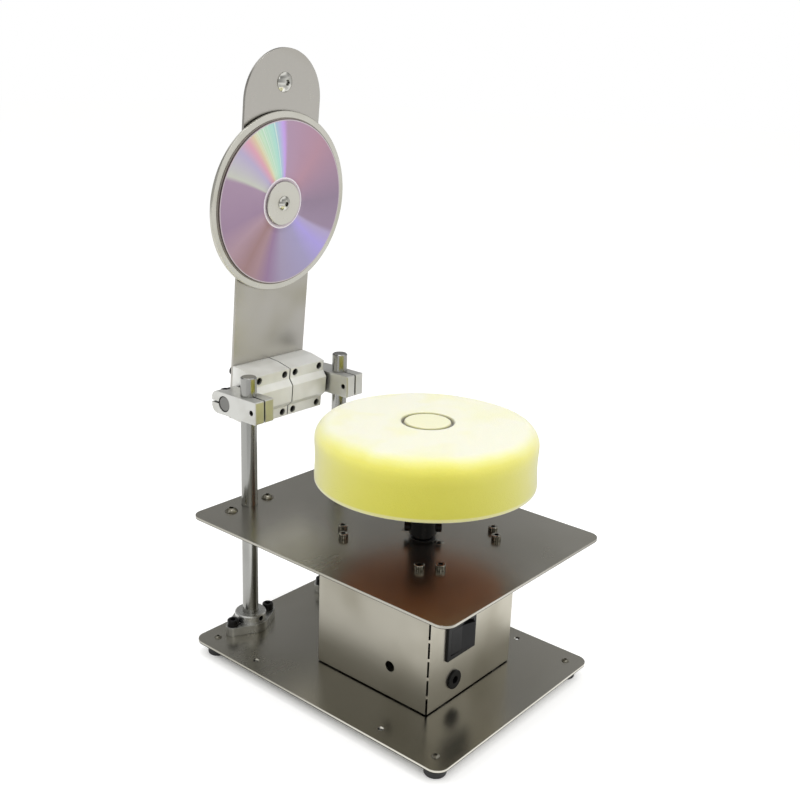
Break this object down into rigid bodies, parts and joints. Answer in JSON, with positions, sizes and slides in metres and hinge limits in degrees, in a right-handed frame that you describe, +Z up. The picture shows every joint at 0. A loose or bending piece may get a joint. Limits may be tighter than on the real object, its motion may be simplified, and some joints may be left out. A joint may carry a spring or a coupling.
{
  "type": "disc repair machine",
  "caption": "Bench disc repair machine: a boxed motor turns a round foam pad above a deck, and a hinged steel paddle swings a turning platter with the disc down onto it.",
  "frame": {"origin": "on the surface the feet stand on, at the middle of the whole footprint: the plates' centre is 11.5 mm in front of it, because the arm overhangs the back", "axes": "+Z up, -Y the front with the switch and the power socket, +X to the right as seen from the front, along the cross shaft the arm swings on"},
  "size_m": [0.182, 0.261, 0.442],
  "materials": {
    "plate_steel": "sheet steel, satin, light mottling",
    "paddle_steel": "polished sheet steel",
    "rubber": "matt",
    "pale_mat": "thin pale silicone",
    "screw_steel": "plain",
    "black_screw": "black oxide",
    "ground_shaft": "hard chromed and ground",
    "cast_aluminium": "satin",
    "chrome_screw": "bright",
    "black_plastic": "moulded",
    "brown_plastic": "moulded",
    "brass_contacts": "plain",
    "motor_can": "plated steel can",
    "black_adapter": "black oxide",
    "foam": "fine open-cell foam, yellow with a pale top",
    "disc": "polycarbonate over a bright reflecting layer"
  },
  "bodies": {
    "stand": {"base_plate": "plate_steel", "deck_plate": "plate_steel", "rubber_feet": "rubber", "foot_screws": "screw_steel", "foot_nuts": "screw_steel", "box_panel_front": "plate_steel", "box_panel_rear": "plate_steel", "box_panel_left": "plate_steel", "box_panel_right": "plate_steel", "deck_screws": "screw_steel", "base_screws": "screw_steel", "tab_nuts": "screw_steel", "post_left": "ground_shaft", "post_right": "ground_shaft", "post_foot_left": "cast_aluminium", "post_foot_right": "cast_aluminium", "deck_flange_left": "cast_aluminium", "deck_flange_right": "cast_aluminium", "post_foot_screws": "black_screw", "deck_flange_screws": "screw_steel", "deck_flange_nuts": "screw_steel", "flange_set_screws": "black_screw", "cross_clamp_left": "cast_aluminium", "cross_clamp_right": "cast_aluminium", "clamp_bolts_front": "black_screw", "clamp_bolts_rear": "black_screw", "cross_shaft": "ground_shaft", "motor_body": "motor_can", "motor_screws": "screw_steel", "switch_housing": "black_plastic", "switch_blades": "brass_contacts", "dc_jack": "black_plastic", "dc_jack_pin": "brass_contacts", "dc_jack_nut": "screw_steel"},
    "arm": {"bearing_block_left": "cast_aluminium", "bearing_block_right": "cast_aluminium", "linear_bearing_left": "ground_shaft", "linear_bearing_right": "ground_shaft", "block_screws": "black_screw", "paddle": "paddle_steel", "handle_knob": "black_plastic", "handle_screw": "chrome_screw", "bearing_cup": "cast_aluminium", "platter_bearing": "ground_shaft", "cup_screws": "screw_steel"},
    "platter": {"platter": "paddle_steel", "platter_mat": "pale_mat", "disc": "disc", "hub_cap": "paddle_steel", "hub_screw": "chrome_screw", "platter_spindle": "ground_shaft", "spindle_clip": "screw_steel"},
    "pad": {"motor_shaft": "ground_shaft", "pad_adapter": "black_adapter", "adapter_screws": "black_screw", "backing_plate": "brown_plastic", "foam_pad": "foam"},
    "rocker": {"switch_rocker": "black_plastic"}
  },
  "joints": [
    {"name": "arm_pivot", "type": "hinge", "parent": "stand", "child": "arm", "pos_m": [0, 0.108, 0.191], "axis": [1, 0, 0], "range_deg": [0, 83]},
    {"name": "platter_spin", "type": "hinge", "parent": "arm", "child": "platter", "pos_m": [0, 0.0961, 0.3327], "axis": [0, -0.9965, -0.0837], "continuous": true},
    {"name": "pad_spin", "type": "hinge", "parent": "stand", "child": "pad", "pos_m": [0, -0.0378, 0.114], "axis": [0, 0, 1], "continuous": true},
    {"name": "switch_rock", "type": "hinge", "parent": "stand", "child": "rocker", "pos_m": [-0.01475, -0.084, 0.05925], "axis": [0, 0, 1], "range_deg": [0, 20]}
  ]
}
